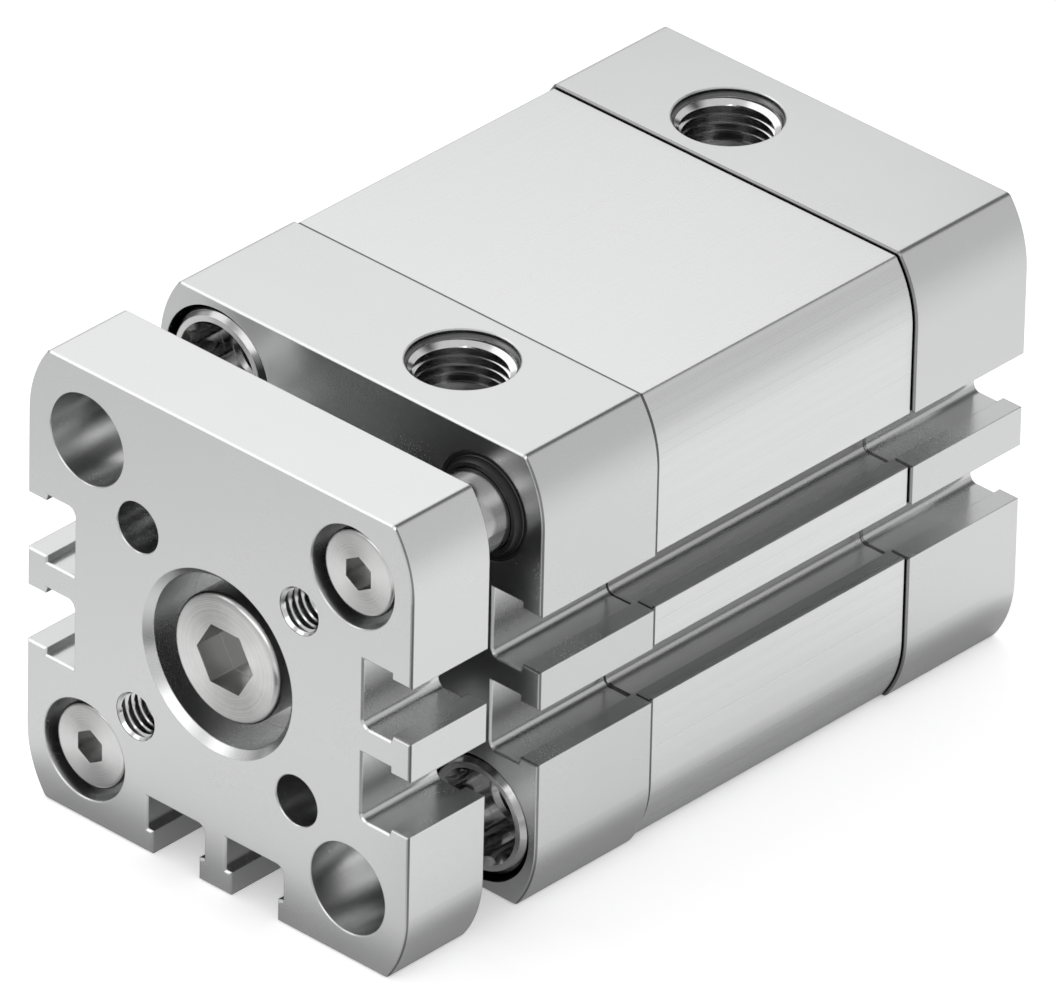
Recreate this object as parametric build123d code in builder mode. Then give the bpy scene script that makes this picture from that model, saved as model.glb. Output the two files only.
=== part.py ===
from build123d import *
import os
from math import cos, pi, sin, sqrt

# Guided compact air cylinder, rod drawn in. Two end caps and an extruded barrel make the
# square body. A square plate is carried by the piston rod and by two guide rods that
# stop it turning. Sizes are in millimetres. The stroke runs along Y with the plate at
# -Y, and the air ports open upwards (+Z). The origin is on the piston axis, in the
# front face of the front cap.

# Travel and bores
stroke = 20.0
bore_diameter = 32.0
rod_diameter = 12.0
guide_rod_diameter = 8.0
rest_gap = 6.7

# Square section of the plate and the caps
slot_wall = 1.7
slot_depth = 5.8
side_arc_run = 7.0
side_arc_cut = 2.4
side_edge_round = 0.6
corner_hole_inset = 7.25
barrel_inset = 0.3
edge_break = 0.2

# T-slots, two in each side and two in the underside
slot_mouth = 5.7
slot_undercut = 7.0
slot_lip = 2.4
slot_rib = 4.0
slot_rake = 0.2
slot_step_round = 0.5
slot_floor_round = 0.3
slot_floor_fillet = 0.8

# End caps
front_cap_length = 15.0
rear_cap_length = 15.0
spigot_length = 2.8
spigot_clearance = 0.05
o_ring_section = 1.2
o_ring_groove_width = 1.5
cushion_pocket_diameter = 20.0
cushion_pocket_depth = 3.0
cushion_thickness = 1.5
cushion_bore = 14.4

# Air ports and their ducts
port_thread_diameter = 9.728
port_thread_depth = 7.0
port_spot_diameter = 10.4
port_spot_depth = 0.5
port_spot_break = 0.1
port_sink_diameter = 10.2
port_sink_angle = 90.0
port_inset = 8.1
port_wall = 0.6
duct_diameter = 3.0
duct_height = 11.0

# Bush and seal of the piston rod
rod_bush_wall = 1.0
rod_bush_recess = 0.8
rod_seal_diameter = 18.0
rod_seal_length = 4.0
rod_seal_setback = 0.3
rod_seal_relief = 0.8
bush_clearance = 0.03
seal_clearance = 0.05

# Bushes and wipers of the guide rods
guide_bush_wall = 0.8
wiper_diameter = 10.6
wiper_length = 3.0
wiper_lip = 0.7
wiper_lip_wall = 0.5

# Collar screws that hold the caps to the barrel
collar_thread_diameter = 9.0
collar_thread_length = 8.0
collar_hole_clearance = 0.3
collar_head_diameter = 11.8
collar_head_length = 8.0
collar_chamfer = 0.6
collar_bore_diameter = 12.7
collar_mouth_diameter = 9.5
collar_mouth_depth = 0.6
star_points = 12
star_inset = 0.15
star_tooth = 0.45
star_depth = 4.4
fixing_thread_diameter = 6.0
fixing_thread_depth = 10.0
rear_tapped_depth = 14.0

# Piston
piston_length = 8.0
piston_end_gap = 0.2
piston_clearance = 0.3
hub_diameter = 17.8
hub_length = 1.5
seal_groove_width = 1.8
seal_groove_depth = 2.5
seal_waist = 0.5
magnet_width = 2.2
magnet_bore = 21.0
guide_ring_thickness = 1.96
guide_ring_clearance = 0.04
rod_spigot_diameter = 9.0
piston_web = 1.0
piston_web_gap = 0.2
piston_screw_diameter = 6.0
piston_screw_head = 10.0
piston_screw_head_length = 3.0
piston_screw_head_round = 0.3
piston_screw_socket = 4.0
piston_screw_socket_depth = 1.8
piston_screw_grip = 8.0
piston_screw_setback = 0.3

# Plate
plate_thickness = 10.0
plate_bore_diameter = 17.0
plate_bore_chamfer = 0.75
clearance_hole_diameter = 9.0
guide_screw_bore = 10.0
pattern_wall = 1.481
dowel_hole_diameter = 5.0
tapped_hole_diameter = 5.0
hole_edge_break = 0.1
guide_rod_seat = 2.0

# Screw that joins the plate to the piston rod
rod_screw_diameter = 8.0
rod_screw_head = 12.8
rod_screw_head_length = 5.0
rod_screw_head_round = 0.7
rod_screw_setback = 1.0
rod_screw_socket = 6.0
rod_screw_socket_depth = 3.0
rod_screw_grip = 12.0
rod_screw_turn = 0.0

# Screws that join the plate to the guide rods
guide_screw_diameter = 5.0
guide_screw_head = 8.4
guide_screw_head_length = 3.5
guide_screw_head_round = 0.4
guide_screw_setback = 0.75
guide_screw_socket = 3.0
guide_screw_socket_depth = 2.4
guide_screw_grip = 8.0
guide_screw_turn = 30.0

# Play round a screw in its hole, spare depth past its tip, and the ends of the rods
screw_clearance = 0.5
tip_clearance = 1.0
guide_rod_overrun = 4.0
rod_chamfer = 0.5

# Sizes and stations that follow from the sizes above
section = bore_diameter + 2 * (slot_wall + slot_depth)
half_section = section / 2
corner = half_section - corner_hole_inset
bore_radius = bore_diameter / 2
rod_radius = rod_diameter / 2
guide_rod_radius = guide_rod_diameter / 2
barrel_length = stroke + piston_length + 2 * (spigot_length + piston_end_gap)
rear_cap_start = front_cap_length + barrel_length
body_end = rear_cap_start + rear_cap_length
front_spigot_end = front_cap_length + spigot_length
rear_spigot_end = rear_cap_start - spigot_length
spigot_radius = bore_radius - spigot_clearance
groove_floor_radius = bore_radius - o_ring_section
plate_rear = -rest_gap
plate_front = plate_rear - plate_thickness
rod_bush_radius = rod_radius + rod_bush_wall
rod_bush_end = front_spigot_end - cushion_pocket_depth - rod_bush_recess
guide_bush_radius = guide_rod_radius + guide_bush_wall
piston_rear = rear_spigot_end - piston_end_gap
piston_front = piston_rear - piston_length
piston_middle = (piston_front + piston_rear) / 2
piston_radius = bore_radius - piston_clearance
piston_land = (piston_length - magnet_width - 2 * seal_groove_width) / 4
hub_front = piston_front - hub_length
hub_rear = piston_rear + hub_length

# The guide rods run in one pair of corners and the front collar screws in the other
guide_corners = [(corner, corner), (-corner, -corner)]
screw_corners = [(-corner, corner), (corner, -corner)]
port_offset = corner - guide_bush_radius - port_wall - port_thread_diameter / 2


def across(y):
    """Plane across the axis at y, seen from the front. Extrusions run forwards."""
    return Plane.XZ.offset(-y)


def along(x, z):
    """Plane through the line (x, z) for a profile of radius against Y."""
    return Plane(origin=(x, 0, z), x_dir=(1, 0, 0), z_dir=(0, 0, 1))


def axis_at(x, z):
    """Line along Y through (x, z)."""
    return Axis((x, 0, z), (0, 1, 0))


# T-slot outline: Y runs outwards from the face, and the stepped side is at -X
with BuildSketch(Plane.XY) as t_slot:
    mouth_half = slot_mouth / 2
    under_half = slot_undercut / 2
    with BuildLine():
        Polyline(
            (mouth_half, 0),
            (mouth_half, -slot_lip + slot_rake),
            (under_half, -slot_lip),
            (under_half, -slot_depth),
            (-under_half, -slot_depth),
            (-under_half, -slot_lip),
            (-mouth_half, -slot_lip),
            (-mouth_half, 0),
            close=True,
        )
    make_face()
    slot_corners = t_slot.vertices()
    sharp_floor_corner = slot_corners.sort_by_distance((under_half, -slot_depth))[0]
    stepped_floor_corner = slot_corners.sort_by_distance((-under_half, -slot_depth))[0]
    step_corner = slot_corners.sort_by_distance((-under_half, -slot_lip))[0]
    fillet(sharp_floor_corner, radius=slot_floor_fillet)
    fillet(stepped_floor_corner, radius=slot_floor_round)
    fillet(step_corner, radius=slot_step_round)

# Square outline with bowed sides that meet the flat top and underside at an edge
with BuildSketch(Plane.XY) as outline:
    flat_half = half_section - side_arc_cut
    straight_half = half_section - side_arc_run
    with BuildLine():
        Line((0, -half_section), (flat_half, -half_section))
        TangentArc(
            (half_section, -straight_half),
            (flat_half, -half_section),
            tangent=(0, -1),
        )
        Line((half_section, -straight_half), (half_section, straight_half))
        TangentArc(
            (half_section, straight_half),
            (flat_half, half_section),
            tangent=(0, 1),
        )
        Line((flat_half, half_section), (0, half_section))
        mirror(about=Plane.YZ)
    make_face()
    fillet(outline.vertices().group_by(SortBy.DISTANCE)[-1], radius=side_edge_round)


def cut_slots():
    """Cut the six T-slots from the sketch that is being built."""
    slot_centre = (slot_rib + slot_mouth) / 2
    with Locations((half_section, slot_centre), (half_section, -slot_centre)):
        add(t_slot.sketch, rotation=-90, mode=Mode.SUBTRACT)
    with Locations((-half_section, slot_centre), (-half_section, -slot_centre)):
        add(t_slot.sketch, rotation=90, mode=Mode.SUBTRACT)
    with Locations((slot_centre, -half_section), (-slot_centre, -half_section)):
        add(t_slot.sketch.mirror(Plane.XZ), mode=Mode.SUBTRACT)


# Section of the plate and the caps
with BuildSketch(Plane.XY) as full_section:
    add(outline.sketch)
    cut_slots()

# Section of the barrel, a little smaller all round but with its slots in line
with BuildSketch(Plane.XY) as barrel_section:
    offset(outline.sketch, amount=-barrel_inset)
    cut_slots()


def break_edges(builder, end):
    """Break the rim of the foremost (0) or rearmost (-1) face across the axis."""
    end_face = builder.faces().filter_by(Axis.Y).sort_by(Axis.Y)[end]
    chamfer(end_face.outer_wire().edges(), length=edge_break)


def cut_round(points, diameter, start, end):
    """Cut a round hole along Y, from start to end, at each of the points."""
    with BuildSketch(across(end)) as hole:
        with Locations(*points):
            Circle(diameter / 2)
    extrude(hole.sketch, amount=end - start, mode=Mode.SUBTRACT)


def cut_ring_groove(start):
    """Cut the groove of an O-ring round a spigot, from start backwards."""
    with BuildSketch(across(start + o_ring_groove_width)) as groove:
        Circle(bore_radius)
        Circle(groove_floor_radius, mode=Mode.SUBTRACT)
    extrude(groove.sketch, amount=o_ring_groove_width, mode=Mode.SUBTRACT)


def cut_port(x, y):
    """Cut an air port into the top, with the drilling down to its duct."""
    with Locations((x, y, half_section)):
        CounterSinkHole(
            radius=port_spot_diameter / 2,
            counter_sink_radius=port_spot_diameter / 2 + port_spot_break,
            depth=port_spot_depth,
            counter_sink_angle=port_sink_angle,
        )
        Hole(radius=duct_diameter / 2, depth=half_section - duct_height)
    with Locations((x, y, half_section - port_spot_depth)):
        CounterSinkHole(
            radius=port_thread_diameter / 2,
            counter_sink_radius=port_sink_diameter / 2,
            depth=port_thread_depth - port_spot_depth,
            counter_sink_angle=port_sink_angle,
        )


middle = [(0, 0)]
groove_inset = (spigot_length - o_ring_groove_width) / 2

# Front cap, with a spigot that reaches into the barrel
with BuildPart() as front_cap:
    with BuildSketch(across(front_cap_length)):
        add(full_section.sketch)
    extrude(amount=front_cap_length)
    break_edges(front_cap, 0)
    break_edges(front_cap, -1)
    with BuildSketch(across(front_spigot_end)):
        Circle(spigot_radius)
    extrude(amount=spigot_length)
    cut_ring_groove(front_cap_length + groove_inset)
    # Stepped bore of the piston rod
    cut_round(middle, 2 * rod_bush_radius, 0, front_spigot_end)
    cut_round(middle, rod_seal_diameter, 0, rod_seal_length)
    cut_round(
        middle,
        cushion_pocket_diameter,
        front_spigot_end - cushion_pocket_depth,
        front_spigot_end,
    )
    # Seats of the guide bushes and their wipers
    cut_round(guide_corners, 2 * guide_bush_radius, 0, front_cap_length)
    cut_round(guide_corners, wiper_diameter, 0, wiper_length)
    # Counterbored holes of the collar screws
    cut_round(
        screw_corners,
        collar_thread_diameter + 2 * collar_hole_clearance,
        0,
        front_cap_length,
    )
    cut_round(screw_corners, collar_bore_diameter, 0, collar_head_length)
    # Air port and the duct from it to the front chamber
    cut_port(port_offset, port_inset)
    cut_round(
        [(port_offset, duct_height)],
        duct_diameter,
        port_inset,
        front_spigot_end,
    )
front_cap.part.label = "front_cap"

# Barrel: extruded section with the piston bore and a hole in each corner
with BuildPart() as barrel:
    with BuildSketch(across(rear_cap_start)):
        add(barrel_section.sketch)
        Circle(bore_radius, mode=Mode.SUBTRACT)
        with Locations(*guide_corners, *screw_corners):
            Circle(collar_thread_diameter / 2, mode=Mode.SUBTRACT)
    extrude(amount=barrel_length)
    break_edges(barrel, 0)
    break_edges(barrel, -1)
barrel.part.label = "barrel"

# Rear cap: the front cap turned end for end, but closed behind the piston
with BuildPart() as rear_cap:
    with BuildSketch(across(body_end)):
        add(full_section.sketch)
    extrude(amount=rear_cap_length)
    break_edges(rear_cap, 0)
    break_edges(rear_cap, -1)
    with BuildSketch(across(rear_cap_start)):
        Circle(spigot_radius)
    extrude(amount=spigot_length)
    cut_ring_groove(rear_spigot_end + groove_inset)
    cut_round(
        middle,
        cushion_pocket_diameter,
        rear_spigot_end,
        rear_spigot_end + cushion_pocket_depth,
    )
    # Counterbored holes of the collar screws
    cut_round(
        guide_corners,
        collar_thread_diameter + 2 * collar_hole_clearance,
        rear_cap_start,
        body_end,
    )
    cut_round(
        guide_corners,
        collar_bore_diameter,
        body_end - collar_head_length,
        body_end,
    )
    # Fixing threads tapped straight into the other two corners
    cut_round(
        screw_corners,
        fixing_thread_diameter,
        body_end - rear_tapped_depth,
        body_end,
    )
    # Air port and the duct from it to the rear chamber
    cut_port(-port_offset, body_end - port_inset)
    cut_round(
        [(-port_offset, duct_height)],
        duct_diameter,
        rear_spigot_end,
        body_end - port_inset,
    )
rear_cap.part.label = "rear_cap"


def o_ring(y):
    """Turn an O-ring that lies in its groove at y."""
    with BuildSketch(Plane.XY) as cord:
        with Locations((groove_floor_radius + o_ring_section / 2, y)):
            Circle(o_ring_section / 2)
    revolve(cord.sketch, axis=Axis.Y)


with BuildPart() as front_cap_o_ring:
    o_ring(front_cap_length + spigot_length / 2)
front_cap_o_ring.part.label = "front_cap_o_ring"

with BuildPart() as rear_cap_o_ring:
    o_ring(rear_cap_start - spigot_length / 2)
rear_cap_o_ring.part.label = "rear_cap_o_ring"


def cushion_ring(start):
    """Rubber ring that stops the piston hub, from start backwards."""
    with BuildSketch(across(start + cushion_thickness)) as ring:
        Circle(cushion_pocket_diameter / 2)
        Circle(cushion_bore / 2, mode=Mode.SUBTRACT)
    extrude(ring.sketch, amount=cushion_thickness)


with BuildPart() as front_cushion_ring:
    cushion_ring(front_spigot_end - cushion_pocket_depth)
front_cushion_ring.part.label = "front_cushion_ring"

with BuildPart() as rear_cushion_ring:
    cushion_ring(rear_spigot_end + cushion_pocket_depth - cushion_thickness)
rear_cushion_ring.part.label = "rear_cushion_ring"

# Plain bearing of the piston rod, pressed in behind the rod seal
with BuildPart() as rod_bush:
    with BuildSketch(across(rod_bush_end)):
        Circle(rod_bush_radius)
        Circle(rod_radius + bush_clearance, mode=Mode.SUBTRACT)
    extrude(amount=rod_bush_end - rod_seal_length)
rod_bush.part.label = "rod_bush"

# Rod seal: a wiping lip in front, a relief, and a sealing lip behind
with BuildPart() as rod_seal:
    lip_radius = rod_radius + seal_clearance
    relief_radius = lip_radius + rod_seal_relief
    with BuildSketch(Plane.XY):
        with BuildLine():
            Polyline(
                (lip_radius, rod_seal_setback),
                (rod_seal_diameter / 2, rod_seal_setback),
                (rod_seal_diameter / 2, rod_seal_length),
                (lip_radius, rod_seal_length),
                (relief_radius, rod_seal_length * 2 / 3),
                (relief_radius, rod_seal_length / 3),
                close=True,
            )
        make_face()
    revolve(axis=Axis.Y)
rod_seal.part.label = "rod_seal"


def guide_bush(x, z):
    """Sleeve bearing of one guide rod, behind its wiper."""
    with BuildSketch(across(front_cap_length)) as sleeve:
        with Locations((x, z)):
            Circle(guide_bush_radius)
            Circle(guide_rod_radius + bush_clearance, mode=Mode.SUBTRACT)
    extrude(sleeve.sketch, amount=front_cap_length - wiper_length)


def guide_wiper(x, z):
    """Rubber wiper, flush with the cap but for a lip that stands out round the rod."""
    lip_radius = guide_rod_radius + seal_clearance
    with BuildSketch(along(x, z)) as profile:
        with BuildLine():
            Polyline(
                (lip_radius, wiper_length),
                (wiper_diameter / 2, wiper_length),
                (wiper_diameter / 2, 0),
                (lip_radius + 2 * wiper_lip_wall, 0),
                (lip_radius + wiper_lip_wall, -wiper_lip),
                (lip_radius, -wiper_lip),
                close=True,
            )
        make_face()
    revolve(profile.sketch, axis=axis_at(x, z))


with BuildPart() as guide_bush_right:
    guide_bush(*guide_corners[0])
guide_bush_right.part.label = "guide_bush_right"

with BuildPart() as guide_bush_left:
    guide_bush(*guide_corners[1])
guide_bush_left.part.label = "guide_bush_left"

with BuildPart() as guide_wiper_right:
    guide_wiper(*guide_corners[0])
guide_wiper_right.part.label = "guide_wiper_right"

with BuildPart() as guide_wiper_left:
    guide_wiper(*guide_corners[1])
guide_wiper_left.part.label = "guide_wiper_left"


def collar_screw(cap_length):
    """Collar screw with its face at y = 0 and its shank towards +Y.

    The star socket for its key opens into a thread for the user's own screws.
    """
    shank_end = cap_length + collar_thread_length
    star_end = collar_mouth_depth + star_depth
    tip = collar_mouth_diameter / 2 - star_inset
    waist = tip - star_tooth
    with BuildPart() as screw:
        with BuildSketch(across(shank_end)):
            Circle(collar_thread_diameter / 2)
        extrude(amount=shank_end)
        with BuildSketch(across(collar_head_length)):
            Circle(collar_head_diameter / 2)
        extrude(amount=collar_head_length)
        chamfer(screw.edges().group_by(Axis.Y)[0], length=collar_chamfer)
        chamfer(screw.edges().group_by(Axis.Y)[-1], length=collar_chamfer)
        with BuildSketch(across(collar_mouth_depth)):
            Circle(waist)
        with BuildSketch(across(0)):
            Circle(collar_mouth_diameter / 2)
        loft(mode=Mode.SUBTRACT)
        with BuildSketch(across(star_end)):
            with BuildLine():
                for point in range(star_points):
                    start_angle = 2 * pi * point / star_points
                    waist_angle = start_angle + pi / star_points
                    end_angle = start_angle + 2 * pi / star_points
                    ThreePointArc(
                        (tip * cos(start_angle), tip * sin(start_angle)),
                        (waist * cos(waist_angle), waist * sin(waist_angle)),
                        (tip * cos(end_angle), tip * sin(end_angle)),
                    )
            make_face()
        extrude(amount=star_end, mode=Mode.SUBTRACT)
        cut_round(
            middle,
            fixing_thread_diameter,
            star_end,
            star_end + fixing_thread_depth,
        )
    return screw.part


front_collar_screw = collar_screw(front_cap_length)
with BuildPart() as front_collar_screws:
    with Locations(*[(x, 0, z) for x, z in screw_corners]):
        add(front_collar_screw)
front_collar_screws.part.label = "front_collar_screws"

rear_collar_screw = collar_screw(rear_cap_length)
with BuildPart() as rear_collar_screws:
    with Locations(*[Location((x, body_end, z), (0, 0, 180)) for x, z in guide_corners]):
        add(rear_collar_screw)
rear_collar_screws.part.label = "rear_collar_screws"

# Plate, cut from the same section as the caps
with BuildPart() as yoke_plate:
    with BuildSketch(across(plate_rear)):
        add(full_section.sketch)
    extrude(amount=plate_thickness)
    break_edges(yoke_plate, 0)
    break_edges(yoke_plate, -1)
    # Counterbore and hole of the rod screw
    rod_screw_seat = plate_front + rod_screw_setback + rod_screw_head_length
    cut_round(middle, rod_screw_diameter + screw_clearance, plate_front, plate_rear)
    cut_round(middle, plate_bore_diameter, plate_front, rod_screw_seat)
    # Counterbores and holes of the guide rod screws, and the seats of the rods
    guide_screw_seat = plate_front + guide_screw_setback + guide_screw_head_length
    cut_round(
        guide_corners,
        guide_screw_diameter + screw_clearance,
        plate_front,
        plate_rear,
    )
    cut_round(guide_corners, guide_screw_bore, plate_front, guide_screw_seat)
    cut_round(guide_corners, guide_rod_diameter, plate_rear - guide_rod_seat, plate_rear)
    # Clearance holes in the free corners, then dowel and tapped holes on one circle,
    # a wall's thickness inside the counterbores of the guide rod screws
    pattern_step = guide_screw_bore / 2 + pattern_wall + tapped_hole_diameter / 2
    diagonal = corner - pattern_step / sqrt(2)
    dowel_points = [(-diagonal, diagonal), (diagonal, -diagonal)]
    tapped_points = [(diagonal, diagonal), (-diagonal, -diagonal)]
    cut_round(screw_corners, clearance_hole_diameter, plate_front, plate_rear)
    cut_round(dowel_points, dowel_hole_diameter, plate_front, plate_rear)
    cut_round(tapped_points, tapped_hole_diameter, plate_front, plate_rear)
    # Break the rims of the small holes, then chamfer the middle bore
    front_face = yoke_plate.faces().filter_by(Axis.Y).sort_by(Axis.Y)[0]
    small_rims = front_face.inner_wires().sort_by(SortBy.LENGTH)[:-1]
    chamfer([rim.edge() for rim in small_rims], length=hole_edge_break)
    front_face = yoke_plate.faces().filter_by(Axis.Y).sort_by(Axis.Y)[0]
    bore_rim = front_face.inner_wires().sort_by(SortBy.LENGTH)[-1]
    chamfer(bore_rim.edge(), length=plate_bore_chamfer)
yoke_plate.part.label = "yoke_plate"


def socket_screw(
    diameter, length, head_diameter, head_length, head_round, socket, socket_depth, turn
):
    """Hexagon socket screw along Y, with its head in front of the seat at y = 0."""
    with BuildPart() as screw:
        with BuildSketch(across(length)):
            Circle(diameter / 2)
        extrude(amount=length)
        with BuildSketch(across(0)):
            Circle(head_diameter / 2)
        extrude(amount=head_length)
        fillet(screw.edges().group_by(Axis.Y)[0], radius=head_round)
        with BuildSketch(across(socket_depth - head_length)):
            RegularPolygon(socket / 2, side_count=6, major_radius=False, rotation=turn)
        extrude(amount=socket_depth, mode=Mode.SUBTRACT)
    return screw.part


# Screw of the piston rod
plate_to_rod = plate_rear - rod_screw_seat
rod_socket_screw = socket_screw(
    rod_screw_diameter,
    plate_to_rod + rod_screw_grip,
    rod_screw_head,
    rod_screw_head_length,
    rod_screw_head_round,
    rod_screw_socket,
    rod_screw_socket_depth,
    rod_screw_turn,
)
with BuildPart() as rod_screw:
    with Locations((0, rod_screw_seat, 0)):
        add(rod_socket_screw)
rod_screw.part.label = "rod_screw"

# Screws of the guide rods, with a corner of each socket at the top
guide_rod_front = plate_rear - guide_rod_seat
guide_socket_screw = socket_screw(
    guide_screw_diameter,
    guide_rod_front - guide_screw_seat + guide_screw_grip,
    guide_screw_head,
    guide_screw_head_length,
    guide_screw_head_round,
    guide_screw_socket,
    guide_screw_socket_depth,
    guide_screw_turn,
)
with BuildPart() as guide_rod_screws:
    with Locations(*[(x, guide_screw_seat, z) for x, z in guide_corners]):
        add(guide_socket_screw)
guide_rod_screws.part.label = "guide_rod_screws"

# Piston rod: tapped for the rod screw in front, turned down for the piston behind
piston_screw_seat = hub_rear - piston_screw_setback - piston_screw_head_length
rod_end = piston_screw_seat - piston_web - piston_web_gap
with BuildPart() as piston_rod:
    with BuildSketch(across(hub_front)):
        Circle(rod_radius)
    extrude(amount=hub_front - plate_rear)
    chamfer(piston_rod.edges().group_by(Axis.Y)[0], length=rod_chamfer)
    with BuildSketch(across(rod_end)):
        Circle(rod_spigot_diameter / 2)
    extrude(amount=rod_end - hub_front)
    cut_round(
        middle,
        rod_screw_diameter,
        plate_rear,
        plate_rear + rod_screw_grip + tip_clearance,
    )
    cut_round(
        middle,
        piston_screw_diameter,
        rod_end - piston_screw_grip - tip_clearance,
        rod_end,
    )
piston_rod.part.label = "piston_rod"


def guide_rod(x, z):
    """Ground rod, seated in the plate and tapped for its screw."""
    guide_rod_end = front_cap_length + stroke + guide_rod_overrun
    with BuildSketch(across(guide_rod_end)) as rod_circle:
        with Locations((x, z)):
            Circle(guide_rod_radius)
    rod = extrude(rod_circle.sketch, amount=guide_rod_end - guide_rod_front)
    chamfer(rod.edges().group_by(Axis.Y)[-1], length=rod_chamfer)
    cut_round(
        [(x, z)],
        guide_screw_diameter,
        guide_rod_front,
        guide_rod_front + guide_screw_grip + tip_clearance,
    )


with BuildPart() as guide_rod_right:
    guide_rod(*guide_corners[0])
guide_rod_right.part.label = "guide_rod_right"

with BuildPart() as guide_rod_left:
    guide_rod(*guide_corners[1])
guide_rod_left.part.label = "guide_rod_left"


def piston_half(side):
    """Half of the piston, on the front (-1) or rear (1) side of the magnet."""
    groove_floor = piston_radius - seal_groove_depth
    groove_start = magnet_width / 2 + piston_land
    groove_end = groove_start + seal_groove_width
    profile = [
        (rod_spigot_diameter / 2, 0),
        (magnet_bore / 2, 0),
        (magnet_bore / 2, magnet_width / 2),
        (piston_radius, magnet_width / 2),
        (piston_radius, groove_start),
        (groove_floor, groove_start),
        (groove_floor, groove_end),
        (piston_radius, groove_end),
        (piston_radius, piston_length / 2),
        (hub_diameter / 2, piston_length / 2),
        (hub_diameter / 2, piston_length / 2 + hub_length),
        (rod_spigot_diameter / 2, piston_length / 2 + hub_length),
    ]
    with BuildSketch(Plane.XY) as half_outline:
        with BuildLine():
            Polyline(*[(r, piston_middle + side * y) for r, y in profile], close=True)
        make_face()
    revolve(half_outline.sketch, axis=Axis.Y)


with BuildPart() as piston_front_half:
    piston_half(-1)
piston_front_half.part.label = "piston_front_half"

# The rear half has a web that its screw clamps against, under a recess for the head
with BuildPart() as piston_rear_half:
    piston_half(1)
    with BuildSketch(across(piston_screw_seat)):
        Circle(rod_spigot_diameter / 2)
        Circle((piston_screw_diameter + screw_clearance) / 2, mode=Mode.SUBTRACT)
    extrude(amount=piston_web)
    cut_round(
        middle,
        piston_screw_head + screw_clearance,
        piston_screw_seat,
        hub_rear,
    )
piston_rear_half.part.label = "piston_rear_half"

# Screw that clamps the piston to the rod, its head facing backwards
piston_socket_screw = socket_screw(
    piston_screw_diameter,
    piston_screw_seat - rod_end + piston_screw_grip,
    piston_screw_head,
    piston_screw_head_length,
    piston_screw_head_round,
    piston_screw_socket,
    piston_screw_socket_depth,
    0,
)
with BuildPart() as piston_screw:
    with Locations(Location((0, piston_screw_seat, 0), (0, 0, 180))):
        add(piston_socket_screw)
piston_screw.part.label = "piston_screw"

# Ring magnet for position sensing, between the piston halves
guide_ring_radius = bore_radius - guide_ring_clearance
magnet_radius = guide_ring_radius - guide_ring_thickness
magnet_end = piston_middle + magnet_width / 2
with BuildPart() as piston_magnet:
    with BuildSketch(across(magnet_end)):
        Circle(magnet_radius)
        Circle(magnet_bore / 2, mode=Mode.SUBTRACT)
    extrude(amount=magnet_width)
piston_magnet.part.label = "piston_magnet"

# Low-friction band round the magnet that guides the piston in the barrel
with BuildPart() as piston_guide_ring:
    with BuildSketch(across(magnet_end)):
        Circle(guide_ring_radius)
        Circle(magnet_radius, mode=Mode.SUBTRACT)
    extrude(amount=magnet_width)
piston_guide_ring.part.label = "piston_guide_ring"


def piston_seal(side):
    """Lip seal that fills its groove, with a waist on its outer face."""
    seal_radius = bore_radius - seal_clearance
    seal_floor = piston_radius - seal_groove_depth
    near = piston_middle + side * (magnet_width / 2 + piston_land)
    far = near + side * seal_groove_width
    with BuildSketch(Plane.XY) as lip_profile:
        with BuildLine():
            Polyline(
                (seal_floor, near),
                (seal_radius, near),
                (seal_radius - seal_waist, (near + far) / 2),
                (seal_radius, far),
                (seal_floor, far),
                close=True,
            )
        make_face()
    revolve(lip_profile.sketch, axis=Axis.Y)


with BuildPart() as piston_front_seal:
    piston_seal(-1)
piston_front_seal.part.label = "piston_front_seal"

with BuildPart() as piston_rear_seal:
    piston_seal(1)
piston_rear_seal.part.label = "piston_rear_seal"

# One file for each piece
os.makedirs("parts", exist_ok=True)
export_step(front_cap.part, "parts/front_cap.step")
export_step(barrel.part, "parts/barrel.step")
export_step(rear_cap.part, "parts/rear_cap.step")
export_step(front_cap_o_ring.part, "parts/front_cap_o_ring.step")
export_step(rear_cap_o_ring.part, "parts/rear_cap_o_ring.step")
export_step(front_cushion_ring.part, "parts/front_cushion_ring.step")
export_step(rear_cushion_ring.part, "parts/rear_cushion_ring.step")
export_step(rod_bush.part, "parts/rod_bush.step")
export_step(rod_seal.part, "parts/rod_seal.step")
export_step(guide_bush_right.part, "parts/guide_bush_right.step")
export_step(guide_bush_left.part, "parts/guide_bush_left.step")
export_step(guide_wiper_right.part, "parts/guide_wiper_right.step")
export_step(guide_wiper_left.part, "parts/guide_wiper_left.step")
export_step(front_collar_screws.part, "parts/front_collar_screws.step")
export_step(rear_collar_screws.part, "parts/rear_collar_screws.step")
export_step(yoke_plate.part, "parts/yoke_plate.step")
export_step(rod_screw.part, "parts/rod_screw.step")
export_step(guide_rod_screws.part, "parts/guide_rod_screws.step")
export_step(piston_rod.part, "parts/piston_rod.step")
export_step(guide_rod_right.part, "parts/guide_rod_right.step")
export_step(guide_rod_left.part, "parts/guide_rod_left.step")
export_step(piston_front_half.part, "parts/piston_front_half.step")
export_step(piston_rear_half.part, "parts/piston_rear_half.step")
export_step(piston_screw.part, "parts/piston_screw.step")
export_step(piston_magnet.part, "parts/piston_magnet.step")
export_step(piston_guide_ring.part, "parts/piston_guide_ring.step")
export_step(piston_front_seal.part, "parts/piston_front_seal.step")
export_step(piston_rear_seal.part, "parts/piston_rear_seal.step")
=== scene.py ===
from math import ceil, cos, pi, radians, sin

import bmesh
import bpy
from mathutils import Matrix, Vector


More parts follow.
